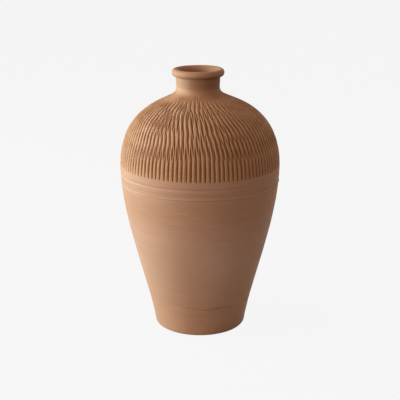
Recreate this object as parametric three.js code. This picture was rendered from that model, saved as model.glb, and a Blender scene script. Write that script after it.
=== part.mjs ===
// Terracotta urn: a hand-thrown jar, raised in courses of clay on a round floor and luted with slip.
// Every course is a ring of its own that stands on the one below it, keyed to it by a ridge in a groove.
// Millimetres, +Z up. The origin is the centre of the underside, where the urn stands on the ground.
import * as THREE from "three";

// Heights of the courses, from the ground up. Together they make the height of the urn.
const FLOOR_THICKNESS = 10;
const FOOT_WALL_HEIGHT = 37;
const LOWER_WALL_HEIGHT = 118;
const UPPER_WALL_HEIGHT = 60;
const BAND_HEIGHT = 32;
const SHOULDER_HEIGHT = 116;
const NECK_HEIGHT = 16;

// Radii of the outside
const FOOT_RADIUS = 70;
const FOOT_EDGE_RADIUS = 4;
const BELLY_RADIUS = 121;
const NECK_RADIUS = 32.3;
const NECK_FLARE = 0.9;
const NECK_FILLET_RADIUS = 12;
const RIM_OVERHANG = 6.1;

// The rolled rim: its size across and up, and how full its lip is above the mouth
const RIM_ROLL_WIDTH = 9.4;
const RIM_ROLL_HEIGHT = 11.2;
const LIP_FULLNESS = 0.55;

// Thickness of the clay in the body and in the neck
const BODY_WALL = 8;
const NECK_WALL = 6.3;

// The widest ring lies just under the lower edge of the shoulder.
const BELLY_BELOW_SHOULDER = 3;

// The run of the walls: how far they lean, and how full the curves between foot, belly and neck are
const FOOT_LEAN = THREE.MathUtils.degToRad(6.3);
const SHOULDER_PITCH = THREE.MathUtils.degToRad(38.8);
const FOOT_FULLNESS = 0.225;
const BELLY_FULLNESS_BELOW = 0.335;
const BELLY_FULLNESS_ABOVE = 0.82;
const NECK_FULLNESS = 0.233;

// The neck was set a little to one side by hand, and carries the rim with it.
const NECK_OFFSET = 3;
const NECK_OFFSET_RUN = 35;

// Turned grooves round the band, from the lowest up: where each lies between its edges, and how wide it is
const BAND_GROOVES = [
  { share: 0.116, width: 3 },
  { share: 0.35, width: 3.6 },
  { share: 0.63, width: 3 },
];
const BAND_GROOVE_DEPTH = 0.7;

// The combing of the shoulder, from the band up. Each round has a number of strokes, the distances along the
// shoulder where they start and end, the turn of one of them from the front, and how far they lean.
const STROKE_DEPTH = 1.6;
const STROKE_WIDTH = 4.2;
const STROKE_TIP_WIDTH = 1.4;
const STROKE_ROUNDS = [
  { strokes: 56, start: 0, end: 40, turn: 0.7, lean: -1.5 },
  { strokes: 52, start: 42, end: 70, turn: 1.6, lean: -8.5 },
  { strokes: 42, start: 72, end: 98, turn: 1.6, lean: -10.5 },
  { strokes: 32, start: 100, end: 124, turn: 0.7, lean: -4 },
  { strokes: 26, start: 126, end: 145, turn: 1.2, lean: -3 },
];

// The lowest strokes are cut off square by the band, with this share of their run missing.
const STROKE_CUT_OFF = 1 / 3;

// The key of each luted seam: a ridge under one course in a groove on top of the next
const KEY_WIDTH = 3;
const KEY_HEIGHT = 2;
const SLIP_CLEARANCE = 0.3;

// Facets round the urn, and points along each curve
const FACETS = 48;
const CURVE_POINTS = 120;
const EDGE_STEPS = 3;
const ROLL_STEPS = 8;
const MOUTH_STEPS = 6;
const GROOVE_STEPS = 4;
const STROKE_STEP = 10;
const FILLET_STEPS = 3;
const SHOULDER_INNER_STEPS = 9;

// Heights of the seams
const FLOOR_TOP = FLOOR_THICKNESS;
const FOOT_WALL_TOP = FLOOR_TOP + FOOT_WALL_HEIGHT;
const LOWER_WALL_TOP = FOOT_WALL_TOP + LOWER_WALL_HEIGHT;
const UPPER_WALL_TOP = LOWER_WALL_TOP + UPPER_WALL_HEIGHT;
const BAND_TOP = UPPER_WALL_TOP + BAND_HEIGHT;
const SHOULDER_TOP = BAND_TOP + SHOULDER_HEIGHT;
const NECK_TOP = SHOULDER_TOP + NECK_HEIGHT;
const BELLY_HEIGHT = BAND_TOP - BELLY_BELOW_SHOULDER;

const point = (radius, height) => new THREE.Vector2(radius, height);

// One side of the wall, from the ground to the top of the neck: its outline as points of (radius, height).
// The depth is how far it lies inside the outer face of the body and of the neck.
function wallOutline(bodyDepth, neckDepth) {
  const footRadius = FOOT_RADIUS - bodyDepth;
  const bellyRadius = BELLY_RADIUS - bodyDepth;
  const filletRadius = NECK_FILLET_RADIUS + neckDepth;
  const filletCentre = point(NECK_RADIUS + NECK_FILLET_RADIUS, SHOULDER_TOP);
  const fillet = new THREE.EllipseCurve(
    filletCentre.x,
    filletCentre.y,
    filletRadius,
    filletRadius,
    -Math.PI / 2 - SHOULDER_PITCH,
    -Math.PI,
    true,
  );
  const filletStart = fillet.getPoint(0);
  const shoulderRise = filletStart.y - BELLY_HEIGHT;
  const shoulderRun = bellyRadius - filletStart.x;
  const footReach = FOOT_FULLNESS * BELLY_HEIGHT;
  const neckReach = NECK_FULLNESS * shoulderRun;
  const lower = new THREE.CubicBezierCurve(
    point(footRadius, 0),
    point(footRadius + footReach * Math.sin(FOOT_LEAN), footReach * Math.cos(FOOT_LEAN)),
    point(bellyRadius, BELLY_HEIGHT * (1 - BELLY_FULLNESS_BELOW)),
    point(bellyRadius, BELLY_HEIGHT),
  );
  const shoulder = new THREE.CubicBezierCurve(
    point(bellyRadius, BELLY_HEIGHT),
    point(bellyRadius, BELLY_HEIGHT + BELLY_FULLNESS_ABOVE * shoulderRise),
    point(
      filletStart.x + neckReach * Math.cos(SHOULDER_PITCH),
      filletStart.y - neckReach * Math.sin(SHOULDER_PITCH),
    ),
    filletStart,
  );
  const neckTop = point(NECK_RADIUS + NECK_FLARE - neckDepth, NECK_TOP);
  return [
    ...lower.getPoints(CURVE_POINTS),
    ...shoulder.getPoints(CURVE_POINTS).slice(1),
    ...fillet.getPoints(CURVE_POINTS).slice(1),
    neckTop,
  ];
}

const outside = wallOutline(0, 0);
const inside = wallOutline(BODY_WALL, NECK_WALL);

// Where an outline, which climbs all the way, reaches a height
function pointAt(outline, height) {
  const last = outline.length - 1;
  const next = outline.findIndex((p) => p.y >= height);
  const upper = next < 0 ? last : Math.max(next, 1);
  const a = outline[upper - 1];
  const b = outline[upper];
  return point(a.x + ((b.x - a.x) * (height - a.y)) / (b.y - a.y), height);
}

// The stretch of an outline between two heights, with the distance of each of its points along it
function stretch(outline, low, high) {
  const between = outline.filter((p) => p.y > low && p.y < high);
  const path = [pointAt(outline, low), ...between, pointAt(outline, high)];
  const distances = [0];
  path.slice(1).forEach((p, i) => distances.push(distances[i] + p.distanceTo(path[i])));
  return { path, distances, length: distances.at(-1) };
}

// The point of a stretch at a distance along it
function pointAlong({ path, distances }, along) {
  if (along <= 0) return path[0];
  const k = distances.findIndex((distance) => distance >= along);
  if (k < 0) return path.at(-1);
  const share = (along - distances[k - 1]) / (distances[k] - distances[k - 1]);
  return share === 1 ? path[k] : path[k - 1].clone().lerp(path[k], share);
}

// A stretch of an outline between two heights, in steps of even length
function evenSteps(outline, low, high, steps) {
  const whole = stretch(outline, low, high);
  return Array.from({ length: steps + 1 }, (_, i) => pointAlong(whole, (whole.length * i) / steps));
}

// The key between two courses, across the middle of the wall from the inner edge to the outer one.
// The groove is the ridge grown by the slip that fills the seam.
function seamKey(height, clearance) {
  const middle = (pointAt(inside, height).x + pointAt(outside, height).x) / 2;
  const halfWidth = KEY_WIDTH / 2 + clearance;
  return [
    point(middle - halfWidth, height),
    point(middle, height - KEY_HEIGHT - clearance),
    point(middle + halfWidth, height),
  ];
}
const ridgeAt = (height) => seamKey(height, 0);
const grooveAt = (height) => seamKey(height, SLIP_CLEARANCE).reverse();

// How far the clay is pushed aside at a height, where the shoulder rises to the offset neck
function offsetAt(height) {
  const start = SHOULDER_TOP - NECK_OFFSET_RUN;
  return -NECK_OFFSET * THREE.MathUtils.smoothstep(height, start, SHOULDER_TOP);
}

const terracotta = new THREE.MeshStandardMaterial({ color: 0xab8061, roughness: 0.9, metalness: 0 });
const combedTerracotta = new THREE.MeshStandardMaterial({ color: 0xa17352, roughness: 0.95, metalness: 0 });

const urn = new THREE.Group();

// Turns a profile about the upright axis, follows the offset of the neck and adds the piece to the urn.
function addTurned(name, profile, material) {
  const geometry = new THREE.LatheGeometry(profile, FACETS);
  geometry.rotateX(Math.PI / 2);
  addPiece(name, geometry, material);
}

function addPiece(name, geometry, material) {
  const position = geometry.getAttribute("position");
  for (let i = 0; i < position.count; i += 1) {
    position.setX(i, position.getX(i) + offsetAt(position.getZ(i)));
  }
  geometry.computeVertexNormals();
  const mesh = new THREE.Mesh(geometry, material);
  mesh.name = name;
  urn.add(mesh);
}

// The profile of a ring of wall between two seams: outer face, groove on top, inner face and ridge underneath
function courseProfile(low, high, outer, innerSteps) {
  const inner = evenSteps(inside, low, high, innerSteps).reverse();
  return [...outer, ...grooveAt(high), ...inner, ...ridgeAt(low), outer[0]];
}

// A plain ring of wall between two seams
function addCourse(name, low, high, outerSteps, innerSteps) {
  const outer = evenSteps(outside, low, high, outerSteps);
  addTurned(name, courseProfile(low, high, outer, innerSteps), terracotta);
}

// The floor: a beaten disc with a rounded lower edge, grooved on top for the first course
function addFloor() {
  const tangent = FOOT_EDGE_RADIUS * Math.tan(Math.PI / 4 - FOOT_LEAN / 2);
  const edge = new THREE.EllipseCurve(
    FOOT_RADIUS - tangent,
    FOOT_EDGE_RADIUS,
    FOOT_EDGE_RADIUS,
    FOOT_EDGE_RADIUS,
    -Math.PI / 2,
    -FOOT_LEAN,
  );
  const profile = [
    point(0, 0),
    ...edge.getPoints(EDGE_STEPS),
    pointAt(outside, FLOOR_TOP),
    ...grooveAt(FLOOR_TOP),
    point(0, FLOOR_TOP),
  ];
  addTurned("floor_disc", profile, terracotta);
}

// The band at the belly, with its turned grooves
function addBand() {
  const outer = [pointAt(outside, UPPER_WALL_TOP)];
  BAND_GROOVES.forEach(({ share, width }) => {
    const middle = UPPER_WALL_TOP + share * BAND_HEIGHT;
    for (let step = 0; step <= GROOVE_STEPS; step += 1) {
      const across = step / GROOVE_STEPS;
      const height = middle + width * (across - 1 / 2);
      const cut = BAND_GROOVE_DEPTH * Math.sin(Math.PI * across) ** 2;
      outer.push(point(pointAt(outside, height).x - cut, height));
    }
  });
  outer.push(pointAt(outside, BAND_TOP));
  addTurned("belly_band", courseProfile(UPPER_WALL_TOP, BAND_TOP, outer, 1), terracotta);
}

// A plain ring of points round the urn, each with its turn from the front, its radius and its height
function plainRing(p) {
  return Array.from({ length: FACETS }, (_, i) => ({
    turn: (2 * Math.PI * i) / FACETS,
    radius: p.x,
    height: p.y,
  }));
}

// A ring across a round of strokes, with three points to each: its two edges and the groove between them
function strokeRing(p, along, { strokes, start, end, turn, lean }) {
  const missing = start === 0 ? STROKE_CUT_OFF : 0;
  const bite = Math.sin(Math.PI * (missing + ((1 - missing) * (along - start)) / (end - start)));
  const edge = THREE.MathUtils.lerp(STROKE_TIP_WIDTH, STROKE_WIDTH, bite) / 2 / p.x;
  const aside = Math.tan(THREE.MathUtils.degToRad(lean)) * (along - (start + end) / 2);
  const first = THREE.MathUtils.degToRad(turn) + aside / p.x;
  return Array.from({ length: strokes }, (_, i) => {
    const middle = first + (2 * Math.PI * i) / strokes;
    return [
      { turn: middle - edge, radius: p.x, height: p.y },
      { turn: middle, radius: p.x - STROKE_DEPTH * bite, height: p.y },
      { turn: middle + edge, radius: p.x, height: p.y },
    ];
  }).flat();
}

// The corners of the triangles between two rings. Each step goes on along the ring that lags behind.
function joinRings(lower, upper) {
  const turnOf = (ring, i) => ring[i % ring.length].turn + 2 * Math.PI * Math.floor(i / ring.length);
  const alike = lower.length === upper.length;
  const corners = [];
  let [i, j] = [0, 0];
  while (i < lower.length || j < upper.length) {
    const lowerLags = alike ? i === j : turnOf(lower, i + 1) <= turnOf(upper, j + 1);
    const a = lower[i % lower.length];
    const b = upper[j % upper.length];
    if (j === upper.length || (i < lower.length && lowerLags)) {
      i += 1;
      corners.push(a, lower[i % lower.length], b);
    } else {
      j += 1;
      corners.push(a, upper[j % upper.length], b);
    }
  }
  return corners;
}

// The shoulder: a domed course, combed with rounds of strokes as far as the fillet under the neck
function addShoulder() {
  const dome = stretch(outside, BAND_TOP, SHOULDER_TOP);
  const fillet = NECK_FILLET_RADIUS * (Math.PI / 2 - SHOULDER_PITCH);
  const rings = [];
  STROKE_ROUNDS.filter(({ end }) => end < dome.length - fillet).forEach((round) => {
    const steps = Math.round((round.end - round.start) / STROKE_STEP);
    for (let step = 0; step <= steps; step += 1) {
      const along = round.start + ((round.end - round.start) * step) / steps;
      rings.push(strokeRing(pointAlong(dome, along), along, round));
    }
  });
  for (let step = 0; step <= FILLET_STEPS; step += 1) {
    const along = dome.length - fillet * (1 - step / FILLET_STEPS);
    rings.push(plainRing(pointAlong(dome, along)));
  }
  const inner = evenSteps(inside, BAND_TOP, SHOULDER_TOP, SHOULDER_INNER_STEPS).reverse();
  rings.push(...[...grooveAt(SHOULDER_TOP), ...inner, ...ridgeAt(BAND_TOP)].map(plainRing));

  const points = rings.flat();
  const places = points.flatMap(({ turn, radius, height }) => [
    radius * Math.sin(turn),
    -radius * Math.cos(turn),
    height,
  ]);
  const number = new Map(points.map((p, i) => [p, i]));
  const corners = rings.flatMap((ring, i) => joinRings(ring, rings[(i + 1) % rings.length]));
  const geometry = new THREE.BufferGeometry();
  geometry.setAttribute("position", new THREE.Float32BufferAttribute(places, 3));
  geometry.setIndex(corners.map((p) => number.get(p)));
  addPiece("shoulder", geometry, combedTerracotta);
}

// The rim: a roll of clay turned outwards on top of the neck, its mouth narrowing to the bore
function addRim() {
  const seat = pointAt(outside, NECK_TOP);
  const bore = pointAt(inside, NECK_TOP);
  const rollAcross = RIM_OVERHANG - RIM_ROLL_WIDTH / 2;
  const spring = Math.PI + Math.acos(rollAcross / (RIM_ROLL_WIDTH / 2));
  const roll = new THREE.EllipseCurve(
    seat.x + rollAcross,
    NECK_TOP - (RIM_ROLL_HEIGHT / 2) * Math.sin(spring),
    RIM_ROLL_WIDTH / 2,
    RIM_ROLL_HEIGHT / 2,
    spring - 2 * Math.PI,
    Math.PI / 2,
  );
  const top = roll.getPoint(1);
  const mouth = new THREE.CubicBezierCurve(
    top,
    point(top.x - LIP_FULLNESS * (top.x - bore.x), top.y),
    point(bore.x, bore.y + LIP_FULLNESS * (top.y - bore.y)),
    bore,
  );
  const profile = [
    seat,
    ...roll.getPoints(ROLL_STEPS).slice(1),
    ...mouth.getPoints(MOUTH_STEPS).slice(1),
    ...ridgeAt(NECK_TOP),
    seat,
  ];
  addTurned("rolled_rim", profile, terracotta);
}

addFloor();
addCourse("foot_wall", FLOOR_TOP, FOOT_WALL_TOP, 2, 1);
addCourse("lower_wall", FOOT_WALL_TOP, LOWER_WALL_TOP, 5, 4);
addCourse("upper_wall", LOWER_WALL_TOP, UPPER_WALL_TOP, 3, 3);
addBand();
addShoulder();
addCourse("neck", SHOULDER_TOP, NECK_TOP, 2, 1);
addRim();

export default urn;
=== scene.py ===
import bisect
import math
import random

import bmesh
import bpy
from mathutils import Euler, Matrix, Vector, noise
from mathutils.geometry import interpolate_bezier


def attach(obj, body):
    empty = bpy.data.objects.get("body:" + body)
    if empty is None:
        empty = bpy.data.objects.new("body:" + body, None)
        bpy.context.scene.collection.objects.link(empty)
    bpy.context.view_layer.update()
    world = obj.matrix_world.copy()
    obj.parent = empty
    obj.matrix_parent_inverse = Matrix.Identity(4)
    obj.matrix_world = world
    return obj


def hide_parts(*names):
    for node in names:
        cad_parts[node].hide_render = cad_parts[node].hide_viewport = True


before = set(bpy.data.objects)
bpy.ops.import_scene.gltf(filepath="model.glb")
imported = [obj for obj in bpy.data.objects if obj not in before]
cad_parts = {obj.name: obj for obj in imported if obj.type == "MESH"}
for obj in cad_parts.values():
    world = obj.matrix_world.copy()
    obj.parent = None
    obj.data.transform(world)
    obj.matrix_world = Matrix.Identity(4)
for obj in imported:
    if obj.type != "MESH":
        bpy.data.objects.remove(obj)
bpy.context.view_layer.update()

# Floor of the urn
# A round slab of coarse red clay, beaten flat on the wheel head and cut off it with a wire.
# The first course of the wall stands on its edge, keyed and luted with slip, and all is fired as one.
floor_top = 0.010
foot_radius = 0.070
foot_edge = 0.004
foot_lean = math.radians(6.3)
edge_steps = 8
edge_heights = (0.0055, 0.0075, floor_top)
underside_radii = (0, 0.04, 0.06)
upper_side_radii = (0.03, 0)
body_wall = 0.008
key_width = 0.003
key_height = 0.002
slip = 0.0003
wall_bulge = 0.00035
finger_ring = 0.00016
wall_deep = (0.35, 0.164, 0.083)
wall_pale = (0.422, 0.207, 0.109)

# The line that the whole wall follows, from the foot over the belly to the neck
belly_radius = 0.121
belly_height = 0.254
shoulder_top = 0.373
shoulder_pitch = math.radians(38.8)
neck_radius = 0.0323
neck_flare = 0.0009
neck_fillet = 0.012
neck_wall = 0.0063
neck_top = 0.389
foot_fullness = 0.225
belly_fullness = 0.335
dome_fullness = 0.82
collar_fullness = 0.233
curve_points = 161
fillet_steps = 40


def up_and_out(radius, height):
    return Vector((radius, 0, height))


def wall_line(body_depth, neck_depth):
    """One side of the wall from the ground to the top of the neck, that far inside its outer face."""
    foot = up_and_out(foot_radius - body_depth, 0)
    belly = up_and_out(belly_radius - body_depth, belly_height)
    fillet_centre = up_and_out(neck_radius + neck_fillet, shoulder_top)
    fillet_reach = neck_fillet + neck_depth
    fillet = []
    for step in range(fillet_steps + 1):
        turn = -math.pi / 2 - shoulder_pitch - (math.pi / 2 - shoulder_pitch) * step / fillet_steps
        fillet.append(fillet_centre + fillet_reach * up_and_out(math.cos(turn), math.sin(turn)))
    start = fillet[0]
    foot_reach = foot_fullness * belly_height
    collar_reach = collar_fullness * (belly.x - start.x)
    lower = interpolate_bezier(
        foot,
        foot + foot_reach * up_and_out(math.sin(foot_lean), math.cos(foot_lean)),
        belly - up_and_out(0, belly_fullness * belly_height),
        belly,
        curve_points,
    )
    upper = interpolate_bezier(
        belly,
        belly + up_and_out(0, dome_fullness * (start.z - belly.z)),
        start + collar_reach * up_and_out(math.cos(shoulder_pitch), -math.sin(shoulder_pitch)),
        start,
        curve_points,
    )
    neck_end = up_and_out(neck_radius + neck_flare - neck_depth, neck_top)
    return lower + upper[1:] + fillet[1:] + [neck_end]


outside = wall_line(0, 0)
inside = wall_line(body_wall, neck_wall)


def on_line(line, height):
    """Where a line of the wall, which climbs all the way, reaches a height."""
    above = bisect.bisect_left(line, height, 1, len(line) - 1, key=lambda p: p.z)
    low, high = line[above - 1], line[above]
    return low.lerp(high, (height - low.z) / (high.z - low.z))


def seam_key(height, spare):
    """The ridge of a seam across the middle of the wall, or its groove where the slip grows it."""
    middle = (on_line(inside, height).x + on_line(outside, height).x) / 2
    half = key_width / 2 + spare
    return [
        up_and_out(middle - half, height),
        up_and_out(middle, height - key_height - spare),
        up_and_out(middle + half, height),
    ]


def throw(profile, columns, corners, closed=True):
    """A profile spun into a sector, and the sector doubled until it closes the round.

    A vertex keeps the row that it has in the profile, and the rows of corners stay sharp.
    """
    bm = bmesh.new()
    row = bm.verts.layers.int.new("row")
    dots = [bm.verts.new(p) for p in profile]
    for number, dot in enumerate(dots):
        dot[row] = number
    following = dots[1:] + dots[:1] if closed else dots[1:]
    edges = [bm.edges.new(pair) for pair in zip(dots, following)]
    doublings = 5
    sector = math.tau / 2**doublings
    bmesh.ops.spin(
        bm,
        geom=dots + edges,
        cent=(0, 0, 0),
        axis=(0, 0, 1),
        angle=sector,
        steps=columns // 2**doublings,
    )
    for doubling in range(doublings):
        copy = bmesh.ops.duplicate(bm, geom=bm.verts[:] + bm.edges[:] + bm.faces[:])
        fresh = [part for part in copy["geom"] if isinstance(part, bmesh.types.BMVert)]
        ahead = Matrix.Rotation(sector * 2**doubling, 3, "Z")
        bmesh.ops.rotate(bm, verts=fresh, cent=(0, 0, 0), matrix=ahead)
    bmesh.ops.remove_doubles(bm, verts=bm.verts, dist=1e-7)
    bmesh.ops.recalc_face_normals(bm, faces=bm.faces)
    for face in bm.faces:
        face.smooth = True
    for edge in bm.edges:
        first, second = (v[row] for v in edge.verts)
        edge.smooth = not (first == second and first in corners)
    return bm


def hand(turn, round_scale, seed, height=0, up_scale=1):
    """Slow unevenness left by the hand, from about -1 to 1, which joins up all round the pot."""
    x = round_scale * math.cos(turn) + seed
    y = round_scale * math.sin(turn) - seed
    return noise.noise(Vector((x, y, up_scale * height + seed)))


def thrown(turn, height):
    """How far the wall stands off a true turned shape: soft bulges and the rings of the fingers."""
    bulges = wall_bulge * hand(turn, 1.6, 3.1, height, 14)
    rings = finger_ring * hand(turn, 1.1, 7.7, height, 90)
    return bulges + rings


def turn_of(vertex):
    """The angle of a vertex round the pot, from the front towards the right."""
    return math.atan2(vertex.co.x, -vertex.co.y)


def outwards(vertex):
    """The level direction from the axis of the pot to a vertex."""
    return Vector((vertex.co.x, vertex.co.y, 0)).normalized()


def clamped(share):
    return min(1, max(0, share))


class Clay:
    """A value or colour of the fired clay, so that its maths can be written as an expression."""

    def __init__(self, tree, socket=None):
        self.tree = tree
        self.socket = socket

    def make(self, kind, settings, values, output=0):
        """A node of that type, its settings, the values or links of its sockets, and its output."""
        node = self.tree.nodes.new(kind)
        for name, setting in settings.items():
            setattr(node, name, setting)
        for name, value in values.items():
            if isinstance(value, Clay):
                self.tree.links.new(value.socket, node.inputs[name])
            else:
                node.inputs[name].default_value = value
        return Clay(self.tree, node.outputs[output] if node.outputs else None)

    def maths(self, operation, first, second):
        return self.make("ShaderNodeMath", {"operation": operation}, {0: first, 1: second})

    def __add__(self, other):
        return self.maths("ADD", self, other)

    def __radd__(self, other):
        return self.maths("ADD", other, self)

    def __sub__(self, other):
        return self.maths("SUBTRACT", self, other)

    def __rsub__(self, other):
        return self.maths("SUBTRACT", other, self)

    def __mul__(self, other):
        return self.maths("MULTIPLY", self, other)

    def __rmul__(self, other):
        return self.maths("MULTIPLY", other, self)

    def between(self, low, high):
        """Nought below low, one above high and smooth between them."""
        values = {"Value": self, "From Min": low, "From Max": high}
        return self.make("ShaderNodeMapRange", {"interpolation_type": "SMOOTHSTEP"}, values)

    def blend(self, first, second, amount):
        """One colour moved towards another by an amount."""
        values = {"Factor": amount, 6: first, 7: second}
        return self.make("ShaderNodeMix", {"data_type": "RGBA"}, values, 2)


def terracotta(name, deep, pale, streaks, shade_share=0):
    """Unglazed fired clay: cloudy colour, drag marks round the pot, grit, pits and a dry grain.

    A bloom of lime and painted light makes it paler, and painted shade, where the piece has it, makes it
    darker.
    """
    finish = bpy.data.materials.new(name)
    finish.use_nodes = True
    finish.node_tree.nodes.clear()
    clay = Clay(finish.node_tree)
    place = clay.make("ShaderNodeTexCoord", {}, {}, "Object")

    def grain(size, detail, flatten=1):
        """Noise with features of about that size, flattened into streaks round the pot."""
        flow = clay.make("ShaderNodeMapping", {}, {"Vector": place, "Scale": (1, 1, flatten)})
        values = {"Vector": flow, "Scale": 1 / size, "Detail": detail, "Roughness": 0.6}
        return clay.make("ShaderNodeTexNoise", {}, values)

    def shade(colour, red, green, blue):
        return (colour[0] * red, colour[1] * green, colour[2] * blue, 1)

    clouds = grain(0.09, 3)
    drags = grain(0.10, 3, 22)
    fine_drags = grain(0.05, 2, 60)
    grit = grain(0.0022, 3)
    dust = grain(0.0009, 2)
    spots = clay.make("ShaderNodeTexVoronoi", {}, {"Vector": place, "Scale": 120})
    pits = (1 - spots.between(0.03, 0.12)) * grain(0.02, 1).between(0.56, 0.66)
    dusted = shade(pale, 1.15, 1.2, 1.25)
    pitted = shade(deep, 0.55, 0.5, 0.45)
    # The pale colour below is lime, and painted light too
    limed_and_lit = shade(pale, 1.2, 1.45, 1.9)
    # The dark colour below is painted shade
    shade_colour = shade(deep, 0.54, 0.40, 0.24)

    mottle = clouds.between(0.25, 0.75) * 0.5 + drags.between(0.3, 0.7) * (0.3 * streaks) + grit * 0.2
    colour = clay.blend((*deep, 1), (*pale, 1), mottle)
    colour = clay.blend(colour, dusted, dust.between(0.62, 0.8) * 0.3)
    colour = clay.blend(colour, pitted, pits * 0.6)
    lime_and_painted_light = clay.make("ShaderNodeAttribute", {"attribute_name": "lime_and_painted_light"}, {}, "Fac")
    # Lime and painted light make it paler
    colour = clay.blend(colour, limed_and_lit, lime_and_painted_light)
    # Painted shade, where the piece has it, darkens the colour
    if shade_share:
        painted_shade = clay.make("ShaderNodeAttribute", {"attribute_name": "painted_shade"}, {}, "Fac")
        colour = clay.blend(colour, shade_colour, painted_shade.between(0.1, 0.9) * shade_share)
    relief = grit * 0.5 + dust * 0.35 + fine_drags * (0.8 * streaks) - pits * 1.2
    normal = clay.make("ShaderNodeBump", {}, {"Height": relief, "Strength": 0.55, "Distance": 0.0005})
    values = {"Base Color": colour, "Roughness": 0.54 + grit * 0.16, "Normal": normal}
    values |= {"Specular IOR Level": 0.14, "Sheen Weight": 0.05, "Sheen Roughness": 0.4}
    surface = clay.make("ShaderNodeBsdfPrincipled", {}, values)
    clay.make("ShaderNodeOutputMaterial", {}, {"Surface": surface})
    return finish


# Lime that dried out of the clay and left it paler: heights, and how much of it lies there
lime = [(0, 0), (0.047, 0.06), (0.085, 0.16), (0.13, 0.25), (0.165, 0.25), (0.195, 0.04), (0.238, 0.08)]
lime += [(0.246, 0.12), (0.257, 0.12), (0.258, 0), (0.29, 0), (0.322, 0.22), (0.345, 0.12), (0.358, 0)]


def fired(bm, name, finish, marks_and_painted_light=None):
    """A shaped bmesh as an object of the scene, in its finish and with its bloom of lime and painted light.

    Where it has marks, or painted light and shade, as told for an angle and a height, it is paler or barer.
    """
    lime_and_painted_light = bm.verts.layers.float.new("lime_and_painted_light")
    for vertex in bm.verts:
        above = bisect.bisect_left(lime, vertex.co.z, 1, len(lime) - 1, key=lambda step: step[0])
        (low, least), (high, most) = lime[above - 1], lime[above]
        vertex[lime_and_painted_light] = least + (most - least) * clamped((vertex.co.z - low) / (high - low))
        if marks_and_painted_light:
            vertex[lime_and_painted_light] += marks_and_painted_light(turn_of(vertex), vertex.co.z)
    mesh = bpy.data.meshes.new(name)
    bm.to_mesh(mesh)
    bm.free()
    mesh.materials.append(finish)
    piece = bpy.data.objects.new(name, mesh)
    bpy.context.scene.collection.objects.link(piece)
    return piece


edge_centre = up_and_out(foot_radius - foot_edge * math.tan(math.pi / 4 - foot_lean / 2), foot_edge)
profile = [up_and_out(radius, 0) for radius in underside_radii]
flat_rows = len(profile)
for step in range(edge_steps + 1):
    turn = -math.pi / 2 + (math.pi / 2 - foot_lean) * step / edge_steps
    profile.append(edge_centre + foot_edge * up_and_out(math.cos(turn), math.sin(turn)))
profile += [on_line(outside, height) for height in edge_heights]
outer_rows = len(profile)
profile += seam_key(floor_top, slip)[::-1]
profile += [up_and_out(radius, floor_top) for radius in upper_side_radii]
bm = throw(profile, columns=256, corners=range(outer_rows - 1, outer_rows + 3), closed=False)
row = bm.verts.layers.int["row"]
for vertex in bm.verts:
    if flat_rows < vertex[row] < outer_rows:
        share = vertex.co.z / floor_top
        vertex.co += outwards(vertex) * thrown(turn_of(vertex), vertex.co.z) * share
wall_clay = terracotta("wall_clay", wall_deep, wall_pale, streaks=1.0)
floor = fired(bm, "fired_floor", wall_clay)
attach(floor, "root")
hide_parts("floor_disc")

# Foot wall
# The first ring of wall, drawn up from a coil of clay on the edge of the floor.
# Its upper edge was smeared over the next course by hand, which left an uneven crease with a lip.
foot_wall_top = 0.047
wall_columns = 288
crease_wander = 0.0010
crease_lip = 0.0006
crease_lip_gap = 0.0022
crease_lip_width = 0.0014
foot_notch = 0.0010
foot_notch_run = 0.0007

# Distances from the crease at which the wall has extra rows
crease_gaps = (0.0004, 0.0008, 0.0013, 0.0020, 0.0030, 0.0044)

# Where the crease climbs or dips: how far, angle from the front, and reach to both sides
crease_bends = [(0.0030, -0.45, 0.30), (-0.0016, 0.16, 0.12)]


def course(low, high, outer_heights, inner_rows):
    """The closed profile of a ring of wall: outer face, groove on top, inner face, ridge underneath."""
    profile = [on_line(outside, height) for height in outer_heights]
    outer_rows = len(profile)
    profile += seam_key(high, slip)[::-1]
    for step in range(inner_rows + 1):
        profile.append(on_line(inside, high + (low - high) * step / inner_rows))
    profile += seam_key(low, 0)
    corners = [0, *range(outer_rows - 1, outer_rows + 4), *range(len(profile) - 4, len(profile))]
    return profile, outer_rows, corners


def rows_between(low, high, spacing, creased_end=None):
    """Heights up a course, with extra ones beside the end that has the crease."""
    count = round((high - low) / spacing)
    heights = {low + (high - low) * step / count for step in range(count + 1)}
    if creased_end:
        away = 1 if creased_end == low else -1
        heights |= {creased_end + away * gap for gap in crease_gaps}
    return sorted(heights)


def swell(place, middle, reach, power=2):
    """One at the middle, fading to nought on both sides of it."""
    return math.exp(-(((place - middle) / reach) ** power))


def crease_shift(turn):
    """How far the crease near the foot wanders up and down. It climbs to the left of the front."""
    bends = sum(climb * swell(turn, middle, reach) for climb, middle, reach in crease_bends)
    return bends + crease_wander * hand(turn, 2.5, 11.3)


def crease_strength(turn):
    """How open the crease is: most at the front, closed at the left, and now and then behind."""
    front = 0.75 * swell(turn, 0.14, 0.52, 4) + 0.7 * swell(turn, 0.25, 0.20)
    front *= 0.9 + 0.35 * hand(turn, 4, 5.9)
    behind = 0.25 + 0.5 * hand(turn, 2.2, 2.4)
    closed = swell(turn, -0.95, 0.62, 4)
    return max(front, (1 - closed) * behind)


def shape_course(bm, outer_rows, relief, lift=None):
    """Moves the outer face of a course in or out by its relief, and up or down by its lift."""
    row = bm.verts.layers.int["row"]
    for vertex in bm.verts:
        if vertex[row] < outer_rows:
            turn, height = turn_of(vertex), vertex.co.z
            vertex.co += outwards(vertex) * (thrown(turn, height) + relief(turn, height))
            if lift:
                vertex.co.z += lift(turn, height)


def foot_relief(turn, height):
    gap = foot_wall_top - height
    lip = crease_lip * swell(gap, crease_lip_gap, crease_lip_width)
    notch = foot_notch * math.exp(-gap / foot_notch_run)
    return crease_strength(turn) * (lip - notch)


def foot_lift(turn, height):
    share = (height - floor_top) / (foot_wall_top - floor_top)
    return crease_shift(turn) * share**3


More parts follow.
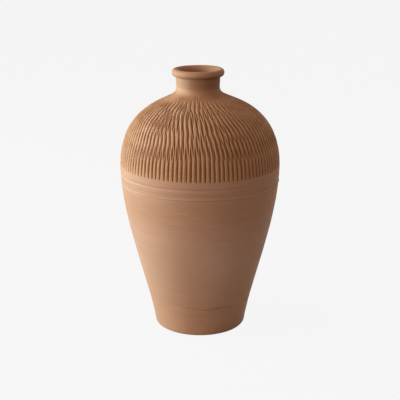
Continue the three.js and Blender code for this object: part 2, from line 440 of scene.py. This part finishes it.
heights = rows_between(floor_top, foot_wall_top, spacing=0.0018, creased_end=foot_wall_top)
profile, outer_rows, corners = course(floor_top, foot_wall_top, heights, inner_rows=4)
bm = throw(profile, wall_columns, corners)
shape_course(bm, outer_rows, foot_relief, foot_lift)
foot_wall = fired(bm, "fired_foot_wall", wall_clay)
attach(foot_wall, "root")
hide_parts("foot_wall")

# Lower wall
# The long leaning course, drawn thin between finger and thumb while the wheel turned.
# Grit under the potter's rib dragged short level lines into it before it dried.
lower_wall_top = 0.165
lower_notch = 0.0015
lower_notch_run = 0.0011
drag_wander = 0.0012

# Drag lines of a course: height, half width, depth, and a seed for where they wander and fade
lower_drags = [(0.088, 0.0010, 0.00022, 31.7), (0.104, 0.0012, 0.00022, 33.1)]
lower_drags += [(0.129, 0.0011, 0.00026, 35.9), (0.148, 0.0010, 0.00020, 38.2)]

# A paler cloud in the clay: how pale, angle from the front and reach, height and reach
cloud = (0.27, 0.35, 0.42, 0.125, 0.055)


def dragged(turn, height, drags):
    """How deep the drag lines of a course go at a place. They wander a little, and fade out and in."""
    deep = 0
    for at, width, depth, seed in drags:
        middle = at + drag_wander * hand(turn, 1.3, seed)
        strength = clamped(0.45 + 1.8 * hand(turn, 2.0, seed + 20))
        deep += depth * strength * swell(height, middle, width)
    return deep


def patch(turn, place, amount, middle_turn, turn_reach, middle_place, place_reach):
    """A soft patch on the clay, which fades out round the pot and up and down it."""
    return amount * swell(turn, middle_turn, turn_reach) * swell(place, middle_place, place_reach)


def pale_cloud(turn, height):
    return patch(turn, height, *cloud)


def lower_relief(turn, height):
    gap = height - foot_wall_top
    notch = lower_notch * crease_strength(turn) * math.exp(-gap / lower_notch_run)
    return -notch - dragged(turn, height, lower_drags)


def lower_lift(turn, height):
    share = (lower_wall_top - height) / (lower_wall_top - foot_wall_top)
    return crease_shift(turn) * share**6


heights = rows_between(foot_wall_top, lower_wall_top, spacing=0.0016, creased_end=foot_wall_top)
profile, outer_rows, corners = course(foot_wall_top, lower_wall_top, heights, inner_rows=8)
bm = throw(profile, wall_columns, corners)
shape_course(bm, outer_rows, lower_relief, lower_lift)
lower_wall = fired(bm, "fired_lower_wall", wall_clay, pale_cloud)
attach(lower_wall, "root")
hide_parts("lower_wall")

# Upper wall
# The course from the faint seam to the grooved band, thrown like the one below it.
# It stands on the lower wall's groove, and its seam was rubbed almost flat with a wet rib.
upper_wall_top = 0.225
seam_rise = 0.0014
seam_wander = 0.0008
seam_depth = 0.0006
seam_width = 0.0011
scuff_rise = 0.0003
scuff_width = 0.0009
scuff_bloom = 0.3
upper_drags = [(0.183, 0.0010, 0.00024, 43.6), (0.197, 0.0012, 0.00026, 46.3)]
upper_drags += [(0.210, 0.0009, 0.00022, 48.8)]

# Short scuffs at the front: angle from the front, reach to both sides, and height
scuffs = [(-0.205, 0.10, 0.210), (-0.05, 0.11, 0.2025), (-0.29, 0.075, 0.193), (0.18, 0.12, 0.1915)]


def scuffed(turn, height):
    """One on the thin raised lines that grit under the rib left in the soft clay."""
    worn = 0
    for middle, reach, at in scuffs:
        worn = max(worn, swell(turn, middle, reach, 4) * swell(height, at, scuff_width))
    return worn


def rubbed_wall(turn, height):
    return scuff_bloom * scuffed(turn, height) + pale_cloud(turn, height)


def seam_strength(turn):
    """How open the rubbed seam is. It shows best to the right of the front and near the left side."""
    right = swell(turn, 0.45, 0.33, 4)
    left = 0.8 * swell(turn, -0.74, 0.10)
    return max(right, left, 0.3 + 0.5 * hand(turn, 2.2, 41.5))


def upper_relief(turn, height):
    middle = lower_wall_top + seam_rise + seam_wander * hand(turn, 1.3, 41.5)
    seam = seam_depth * seam_strength(turn) * swell(height, middle, seam_width)
    return scuff_rise * scuffed(turn, height) - seam - dragged(turn, height, upper_drags)


heights = rows_between(lower_wall_top, upper_wall_top, spacing=0.0009)
profile, outer_rows, corners = course(lower_wall_top, upper_wall_top, heights, inner_rows=5)
bm = throw(profile, wall_columns, corners)
shape_course(bm, outer_rows, upper_relief)
upper_wall = fired(bm, "fired_upper_wall", wall_clay, rubbed_wall)
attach(upper_wall, "root")
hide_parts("upper_wall")

# Belly band
# The joining ring at the widest part, where the upper half of the pot was set on the lower half.
# Its level grooves were turned with the edge of a rib, so they run a little out of true.
band_top = 0.257
band_edge = 0.001
band_sway = 0.0008
groove_wander = 0.0007
ridge_at = 0.2315
ridge_rise = 0.0008
ridge_width = 0.0012
ridge_sink = 0.0024

# Turned grooves: height, half width and depth
grooves = [(0.2452, 0.0009, 0.0010), (0.2362, 0.0011, 0.0006), (0.2287, 0.0009, 0.0008)]

# Painted highlights on the edges of the grooves: height, width, how pale, and how much more to the right
highlit_edges = [(0.2535, 0.0025, 0.10, 0.6), (0.2495, 0.0010, 0.12, 0.3), (0.2430, 0.0011, 0.35, -0.35)]
highlit_edges += [(0.2390, 0.0009, 0.12, 0.2), (ridge_at, 0.0012, 0.40, -0.35), (0.2268, 0.0009, 0.2, 0.1)]


def ridge_height(turn):
    """The ridge under the grooves sinks to the left, where it runs over the lowest of them."""
    return ridge_at - ridge_sink * max(0, -math.sin(turn))


def out_of_true(turn):
    """How far the marks of the band sway up and down together."""
    return band_sway * hand(turn, 1.2, 51.2)


def band_relief(turn, height):
    sway = out_of_true(turn)
    relief = 0
    for seed, (at, width, depth) in enumerate(grooves):
        middle = at + sway + groove_wander * hand(turn, 1.7, 53 + seed)
        strength = 0.75 + 0.5 * hand(turn, 1.8, 58 + seed)
        relief -= depth * strength * swell(height, middle, width)
    ridge = swell(height, ridge_height(turn) + sway, ridge_width)
    relief += ridge_rise * (0.8 + 0.5 * hand(turn, 1.6, 61.4)) * ridge
    return relief * min(1, (height - upper_wall_top) / band_edge, (band_top - height) / band_edge)


def band_highlights(turn, height):
    """Painted highlights along the edges of the grooves; the ridge's is brightest to the left of the front.
    """
    pale = 0
    for seed, (at, width, amount, to_right) in enumerate(highlit_edges):
        middle = ridge_height(turn) if at == ridge_at else at
        strength = 0.8 + to_right * math.sin(turn) + 0.7 * hand(turn, 2.4, 63 + seed)
        pale += amount * max(0, strength) * swell(height, middle + out_of_true(turn), width)
    return pale


heights = rows_between(upper_wall_top, band_top, spacing=0.0007)
profile, outer_rows, corners = course(upper_wall_top, band_top, heights, inner_rows=3)
bm = throw(profile, columns=320, corners=corners)
shape_course(bm, outer_rows, band_relief)
belly_band = fired(bm, "fired_belly_band", wall_clay, band_highlights)
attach(belly_band, "root")
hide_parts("belly_band")

# Shoulder
# The domed upper body, cut all over with upright strokes while the clay was leather hard.
# A springy blade skipped as the wheel turned, so each round has even strokes, and the rounds interlock.
stroke_depth = 0.0017
stroke_half_width = 0.0020
stroke_shortening = 0.002
stroke_aside = 0.04
stroke_tip_share = 0.12
stroke_foot_share = 0.85
stroke_foot_run = 0.008
lightest_skip = 0.88
hardest_skip = 1.08
blunt_ends = 0.4
hollow_blade = 1.4
comb_slant = math.radians(-9.5)
comb_middle = 0.083
comb_reach = 0.042
comb_deep = (0.367, 0.169, 0.076)
comb_pale = (0.449, 0.216, 0.103)
# Painted shade in the strokes: where it is strongest at the foot, and where it fades below the neck
groove_shade_foot = 0.025
groove_shade_fade_start = 0.118
groove_shade_fade = 0.022
# Reach of the painted light on the collar's left side
collar_light_run = 0.012
# Reach of the painted shade on the collar below the neck
collar_shade_run = 0.009
neck_offset = -0.003
neck_offset_run = 0.035
inner_heights = (shoulder_top, 0.360, 0.345, 0.320, band_top)

# Distances between rows: closest at the sharp lower edge, then as many even ones as there is room for
row_gaps = [0.0005, 0.0005, 0.0006, 0.0008, 0.0010, 0.0014, 0.0018] + [0.0025] * 70
last_gap = 0.0006

# Painted light on the upper left of the shoulder: how pale, angle from the front and reach, height and
# reach
lit_patches = [(0.38, -0.47, 0.34, 0.348, 0.022), (0.22, -0.9, 0.35, 0.322, 0.03)]

# The neck's painted shadow on the shoulder: how dark, angle from the front and reach, distance below the
# neck and reach
neck_shadow = (0.33, 0.7, 0.5, 0.014, 0.007)


def arc_rows(low, high, gaps):
    """Points on the outer face from one height to another, the given distances apart along it."""
    path = [on_line(outside, low)]
    path += [p for p in outside if low < p.z < high]
    path.append(on_line(outside, high))
    lengths = [0]
    for first, second in zip(path, path[1:]):
        lengths.append(lengths[-1] + (second - first).length)
    wanted = [0]
    for gap in gaps:
        if wanted[-1] + gap < lengths[-1] - last_gap:
            wanted.append(wanted[-1] + gap)
    wanted.append(lengths[-1])
    points = []
    for along in wanted:
        after = min(bisect.bisect_left(lengths, along, 1), len(lengths) - 1)
        share = (along - lengths[after - 1]) / (lengths[after] - lengths[after - 1])
        points.append(path[after - 1].lerp(path[after], share))
    return points, wanted


rng = random.Random(11)


class Round:
    """One round of strokes: their number, where they start and end along the shoulder, place and slant.

    The slant swings from left to right, and the round rises a little to one side and may sag at both.
    A second pass of the blade bites only on both sides of its heart, at three places round the pot.
    Angles are in degrees.
    """

    def __init__(self, strokes, low, high, turned, slant, swing, rise, bite, heart=0, reach=None, sag=0):
        self.strokes = strokes
        self.low = low
        self.high = high
        self.turned = math.radians(turned)
        self.slant = math.radians(slant)
        self.swing = math.radians(swing)
        self.rise = rise
        self.bite = bite
        self.heart = math.radians(heart)
        self.reach = reach and math.radians(reach)
        self.sag = sag
        self.skips = []
        for number in range(strokes):
            aside = rng.uniform(-stroke_aside, stroke_aside)
            shorter = rng.uniform(0, stroke_shortening), rng.uniform(0, stroke_shortening)
            self.skips.append((aside, *shorter, rng.uniform(lightest_skip, hardest_skip)))

    def cut(self, turn, along, radius):
        """How deep the nearest stroke of the round goes at a place on the shoulder."""
        pressed = self.bite
        if self.reach:
            third = math.tau / 3
            beside = abs((turn - self.heart + third / 2) % third - third / 2)
            pressed *= clamped(2 - 2 * beside / self.reach)
        lean = math.tan(self.slant + self.swing * math.sin(turn))
        place = turn - self.turned - lean * (along - (self.low + self.high) / 2) / radius
        place *= self.strokes / math.tau
        nearest = round(place)
        aside, shorter_below, shorter_above, skip = self.skips[nearest % self.strokes]
        shift = self.rise * math.sin(turn) - self.sag * math.sin(turn) ** 2
        low = self.low + shift + shorter_below
        high = self.high + shift - shorter_above
        share = (along - low) / (high - low)
        if pressed == 0 or not 0 < share < 1:
            return 0
        taper = 4 * share * (1 - share)
        half = stroke_half_width * max(stroke_tip_share, taper * pressed)
        half *= min(1, stroke_foot_share + along / stroke_foot_run)
        across = abs(place - nearest - aside) * math.tau / self.strokes * radius / half
        if across >= 1:
            return 0
        return stroke_depth * pressed * skip * taper**blunt_ends * (1 - across**hollow_blade)


# Eight full rounds from the band upwards, two light ones under the collar, and the second passes
rounds = [
    Round(113, -0.013, 0.046, 0.7, 0, -1, -0.007, 1.0),
    Round(108, 0.026, 0.053, 0.3, -5, -6, 0, 1.0),
    Round(104, 0.034, 0.072, 1.7, -6.5, 6.5, -0.005, 1.0),
    Round(92, 0.055, 0.089, 2.3, -10, 5, -0.005, 0.95),
    Round(84, 0.067, 0.103, 1.5, -9.5, -4.5, -0.002, 1.0),
    Round(75, 0.085, 0.120, 1.8, -11, -1.5, 0.002, 0.85),
    Round(64, 0.097, 0.129, -0.1, -2.5, -2, 0, 0.7),
    Round(52, 0.112, 0.139, 1.3, -1.5, 8.5, -0.001, 0.85, sag=0.008),
    Round(50, 0.128, 0.151, -1.4, 0, 4.5, 0, 0.5, -5, 58),
    Round(50, 0.130, 0.149, 2.2, 0, 4.5, 0, 0.45, -5, 58),
    Round(109, 0.022, 0.052, 1.2, -4.5, 0, 0.007, 0.6, -40, 24),
    Round(112, -0.007, 0.044, 3.2, 0, -8.5, 0.012, 0.55, 11, 34),
    Round(96, 0.036, 0.071, 2.3, -10.5, -7.5, 0.018, 0.7, 24, 23),
    Round(82, 0.069, 0.106, 4.0, -7.5, -1, 0.005, 0.7, -38, 18),
    Round(78, 0.088, 0.112, 4.3, -6, 17, 0.005, 0.7, -6, 36),
    Round(56, 0.107, 0.136, 4.4, -3.5, 6, 0.002, 0.6, -30, 21),
]

points, alongs = arc_rows(band_top, shoulder_top, row_gaps)
outer_rows = len(points)
profile = points + seam_key(shoulder_top, slip)[::-1]
profile += [on_line(inside, height) for height in inner_heights]
profile += seam_key(band_top, 0)
corners = [0, *range(outer_rows - 1, outer_rows + 4), *range(len(profile) - 4, len(profile))]
slopes = []
for number in range(outer_rows):
    climb = points[min(number + 1, outer_rows - 1)] - points[max(number - 1, 0)]
    slopes.append(Vector((climb.z, 0, -climb.x)).normalized())


def column_leans():
    """How far round the pot a column of the mesh has moved at each row, to run along the strokes."""
    leans = [0]
    for number in range(1, outer_rows):
        low, high = alongs[number - 1 : number + 1]
        slant = comb_slant * swell((low + high) / 2, comb_middle, comb_reach, 4)
        leans.append(leans[-1] + math.tan(slant) * (high - low) / points[number].x)
    return leans


def left_shading(turn):
    """One at the left side of the pot, where the painted shade lies evenly instead of in the strokes, and
    nought at the front and beyond.
    """
    return max(0, -math.sin(turn)) ** 5


def shoulder_light_and_shade(turn, height):
    """Painted light to the left of the front, below the neck and on the collar's left, and painted shade at
    the left side.
    """
    pale = sum(patch(turn, height, *spot) for spot in lit_patches)
    collar = max(0, 1 - (shoulder_top - height) / collar_light_run)
    return pale + collar * max(0, -math.sin(turn) - 0.4) - 0.2 * left_shading(turn)


def groove_shade(turn, along):
    """How strong the painted shade in the strokes is: little near the neck, and most at the foot, left of
    the front.
    """
    foot = 0.4 * swell(turn, -0.35, 0.25) * max(0, 1 - along / groove_shade_foot)
    return 1 + foot - 0.8 * clamped((along - groove_shade_fade_start) / groove_shade_fade)


def collar_shade(turn, below):
    """Painted shade on the collar under the neck, none at the far left, and the neck's painted shadow
    further down to the right of the front.
    """
    collar = 0.38 * clamped(1.75 + 2 * math.sin(turn)) * max(0, 1 - below / collar_shade_run)
    return collar + patch(turn, below, *neck_shadow)


def comb_shade(turn, along, deep):
    """Painted shade in the strokes, as deep as they are cut and less at the left side, an even painted
    shade there instead, and the painted shade of the collar.
    """
    strokes = groove_shade(turn, along) * (1 - 0.7 * left_shading(turn)) * deep / stroke_depth
    return strokes + 0.34 * left_shading(turn) + collar_shade(turn, alongs[-1] - along)


leans = column_leans()
bm = throw(profile, columns=1152, corners=corners)
row = bm.verts.layers.int["row"]
painted_shade = bm.verts.layers.float.new("painted_shade")
for vertex in bm.verts:
    level = bisect.bisect_right(points, vertex.co.z, 1, outer_rows, key=lambda p: p.z) - 1
    vertex.co.rotate(Euler((0, 0, leans[level])))
    if vertex[row] < outer_rows:
        turn, radius = turn_of(vertex), math.hypot(vertex.co.x, vertex.co.y)
        along, slope = alongs[vertex[row]], slopes[vertex[row]]
        deep = max(cuts.cut(turn, along, radius) for cuts in rounds)
        relief = thrown(turn, vertex.co.z) - deep
        vertex.co += (outwards(vertex) * slope.x + Vector((0, 0, slope.z))) * relief
        # Painted shade in the strokes, at the left side and on the collar
        vertex[painted_shade] = comb_shade(turn, along, deep)


def set_neck_over(bm):
    """Follows the neck, which was set a little to the left, from the top of the shoulder upwards."""
    for vertex in bm.verts:
        share = clamped((vertex.co.z - shoulder_top + neck_offset_run) / neck_offset_run)
        vertex.co.x += neck_offset * share * share * (3 - 2 * share)


set_neck_over(bm)
combed_clay = terracotta("combed_clay", comb_deep, comb_pale, streaks=0.4, shade_share=0.95)
shoulder = fired(bm, "fired_shoulder", combed_clay, shoulder_light_and_shade)
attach(shoulder, "root")
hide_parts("shoulder")

# Neck
# A short thrown tube, set on the collar of the shoulder a little to one side and smoothed in with a finger.
# It keeps fine level lines from the wet sponge that finished it.
neck_notch = 0.0009
neck_notch_run = 0.0009
neck_slip_run = 0.007
neck_drags = [(0.3795, 0.0008, 0.00018, 71.4), (0.3850, 0.0007, 0.00016, 73.8)]
neck_deep = (0.26, 0.112, 0.044)
neck_pale = (0.323, 0.143, 0.061)


def neck_relief(turn, height):
    notch = neck_notch * math.exp((height - neck_top) / neck_notch_run)
    return -notch - dragged(turn, height, neck_drags)


def neck_slip_and_light(turn, height):
    """Pale slip from the collar, smoothed a little way up the neck, and painted light on the neck that
    grows towards the left side.
    """
    collar = 0.18 * max(0, 1 - (height - shoulder_top) / neck_slip_run)
    left = -math.sin(turn)
    return collar + 0.4 * max(0, 0.35 + left) + 0.6 * max(0, left - 0.4)


heights = rows_between(shoulder_top, neck_top, spacing=0.0010)
profile, outer_rows, corners = course(shoulder_top, neck_top, heights, inner_rows=4)
bm = throw(profile, columns=192, corners=corners)
shape_course(bm, outer_rows, neck_relief)
set_neck_over(bm)
neck_clay = terracotta("neck_clay", neck_deep, neck_pale, streaks=0.8)
neck = fired(bm, "fired_neck", neck_clay, neck_slip_and_light)
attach(neck, "root")
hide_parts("neck")

# Rolled rim
# The lip of the pot, turned outwards over a finger into a round roll and smoothed with a wet leather.
# It dips a little at the front, painted shade darkens the underside of its roll, most to the right, and
# inside it the mouth narrows to the bore.
rim_overhang = 0.0061
roll_half_width = 0.0047
roll_half_height = 0.0056
roll_steps = 32
lip_fullness = 0.55
lip_points = 17
rim_wobble = 0.00035
rim_sway = 0.00040
rim_dip = 0.0006
rim_dip_reach = 0.9
# Where the painted shade under the roll begins, in half heights of the roll above its centre
roll_shade_line = 0.4
firm_height = 0.004
firm_seat_rows = 1
firm_bore_rows = 4
seat = on_line(outside, neck_top)
bore = on_line(inside, neck_top)
roll_across = rim_overhang - roll_half_width
roll_start = -math.pi + math.acos(roll_across / roll_half_width)
roll_centre = seat + up_and_out(roll_across, -roll_half_height * math.sin(roll_start))
profile = []
for step in range(roll_steps + 1):
    turn = roll_start + (math.pi / 2 - roll_start) * step / roll_steps
    reach = up_and_out(roll_half_width * math.cos(turn), roll_half_height * math.sin(turn))
    profile.append(roll_centre + reach)
lip = profile[-1]
profile += interpolate_bezier(
    lip,
    lip - up_and_out(lip_fullness * (lip.x - bore.x), 0),
    bore + up_and_out(0, lip_fullness * (lip.z - bore.z)),
    bore,
    lip_points,
)[1:]
outer_rows = len(profile)
profile += seam_key(neck_top, 0)
bm = throw(profile, columns=256, corners=[0, *range(outer_rows - 1, len(profile))])
row = bm.verts.layers.int["row"]
painted_shade = bm.verts.layers.float.new("painted_shade")
for vertex in bm.verts:
    turn = turn_of(vertex)
    # Painted shade under the roll, darker to the right
    if vertex[row] <= roll_steps:
        under = roll_shade_line + (roll_centre.z - vertex.co.z) / roll_half_height
        vertex[painted_shade] = max(0, under) * (0.6 + 0.4 * math.sin(turn))
    if firm_seat_rows < vertex[row] < outer_rows - firm_bore_rows:
        share = min(1, (vertex.co.z - neck_top) / firm_height)
        vertex.co += outwards(vertex) * share * rim_wobble * hand(turn, 1.5, 81.2, vertex.co.z, 60)
        dip = rim_dip * swell(turn, 0, rim_dip_reach)
        vertex.co.z += share * (rim_sway * hand(turn, 1.4, 84.5) - dip)
set_neck_over(bm)
rim_clay = terracotta("rim_clay", wall_deep, wall_pale, streaks=1.0, shade_share=0.7)
rim = fired(bm, "fired_rim", rim_clay)
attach(rim, "root")
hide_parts("rolled_rim")

# Ground and light
# A pale floor that shows as plain paper and keeps a faint shadow, a large soft lamp at the left,
# weaker ones above it, overhead and to the front, and a dim even fill from the room.
paper_radius = 14
paper_white = (0.948, 0.948, 0.948, 1)
paper_in_light = (0.48, 0.46, 0.44, 1)
paper_glow = 0.95
room_white = (0.93, 0.93, 0.93, 1)
room_fill = (1, 0.86, 0.8, 1)
room_strength = 0.395
lamp_distance = 2.0
lamp_aim = 0.2
lamp_size = 1.0


def where_shown(nodes):
    """One for the rays that show the paper: those of the camera, of gloss and of glass."""
    shown = nodes.make("ShaderNodeLightPath", {}, {}, "Is Camera Ray")
    shown += nodes.make("ShaderNodeLightPath", {}, {}, "Is Glossy Ray")
    return shown + nodes.make("ShaderNodeLightPath", {}, {}, "Is Transmission Ray")


ground_paper = bpy.data.materials.new("ground_paper")
ground_paper.use_nodes = True
ground_paper.node_tree.nodes.clear()
paper = Clay(ground_paper.node_tree)
lit = paper.make("ShaderNodeBsdfDiffuse", {}, {"Color": paper_in_light})
flat = paper.make("ShaderNodeEmission", {}, {"Color": paper_white})
mixed = paper.make("ShaderNodeMixShader", {}, {0: where_shown(paper) * paper_glow, 1: lit, 2: flat})
paper.make("ShaderNodeOutputMaterial", {}, {"Surface": mixed})
bm = bmesh.new()
bmesh.ops.create_circle(bm, cap_ends=True, segments=96, radius=paper_radius)
ground = fired(bm, "ground", ground_paper)

world = bpy.data.worlds.new("studio")
world.use_nodes = True
world.node_tree.nodes.clear()
air = Clay(world.node_tree)
ambient = air.make("ShaderNodeBackground", {}, {"Color": room_fill, "Strength": room_strength})
backdrop = air.make("ShaderNodeBackground", {}, {"Color": room_white, "Strength": 1})
mixed = air.make("ShaderNodeMixShader", {}, {0: where_shown(air), 1: ambient, 2: backdrop})
air.make("ShaderNodeOutputWorld", {}, {"Surface": mixed})
bpy.context.scene.world = world


def soft_lamp(name, turn, climb, power, colour):
    """A square lamp that faces the urn: its angle from the front, its angle up, and its light."""
    lamp = bpy.data.lights.new(name, "AREA")
    lamp.size = lamp_size
    lamp.energy = power
    lamp.color = colour
    away = Vector((0, -1, 0))
    away.rotate(Euler((-math.radians(climb), 0, math.radians(turn))))
    holder = bpy.data.objects.new(name, lamp)
    holder.location = Vector((0, 0, lamp_aim)) + lamp_distance * away
    holder.rotation_euler = (-away).to_track_quat("-Z", "Y").to_euler()
    bpy.context.scene.collection.objects.link(holder)


soft_lamp("window_lamp", turn=-100, climb=8, power=47.5, colour=(0.74, 1.10, 1.23))
soft_lamp("sky_lamp", turn=-85, climb=30, power=15, colour=(0.87, 1.02, 1.11))
soft_lamp("top_lamp", turn=-60, climb=75, power=3.8, colour=(1.3, 1.05, 0.65))
soft_lamp("front_lamp", turn=-60, climb=8, power=20.5, colour=(0.97, 0.97, 1.06))

# Camera
# It stands in front of the urn and looks down on it by 16.5 degrees, as the photograph does.
# Its lens and its distance were fitted to both edges of the urn there.
camera_distance = 1.4
camera_aim = 0.1966
view_down = math.radians(16.5)
lens = bpy.data.cameras.new("camera")
lens.lens = 81.6
lens.sensor_width = 36
camera = bpy.data.objects.new("camera", lens)
camera_height = camera_aim + camera_distance * math.sin(view_down)
camera.location = (0, -camera_distance * math.cos(view_down), camera_height)
camera.rotation_euler = (math.pi / 2 - view_down, 0, 0)
bpy.context.scene.collection.objects.link(camera)
bpy.context.scene.camera = camera
bpy.context.scene.view_settings.view_transform = "Standard"
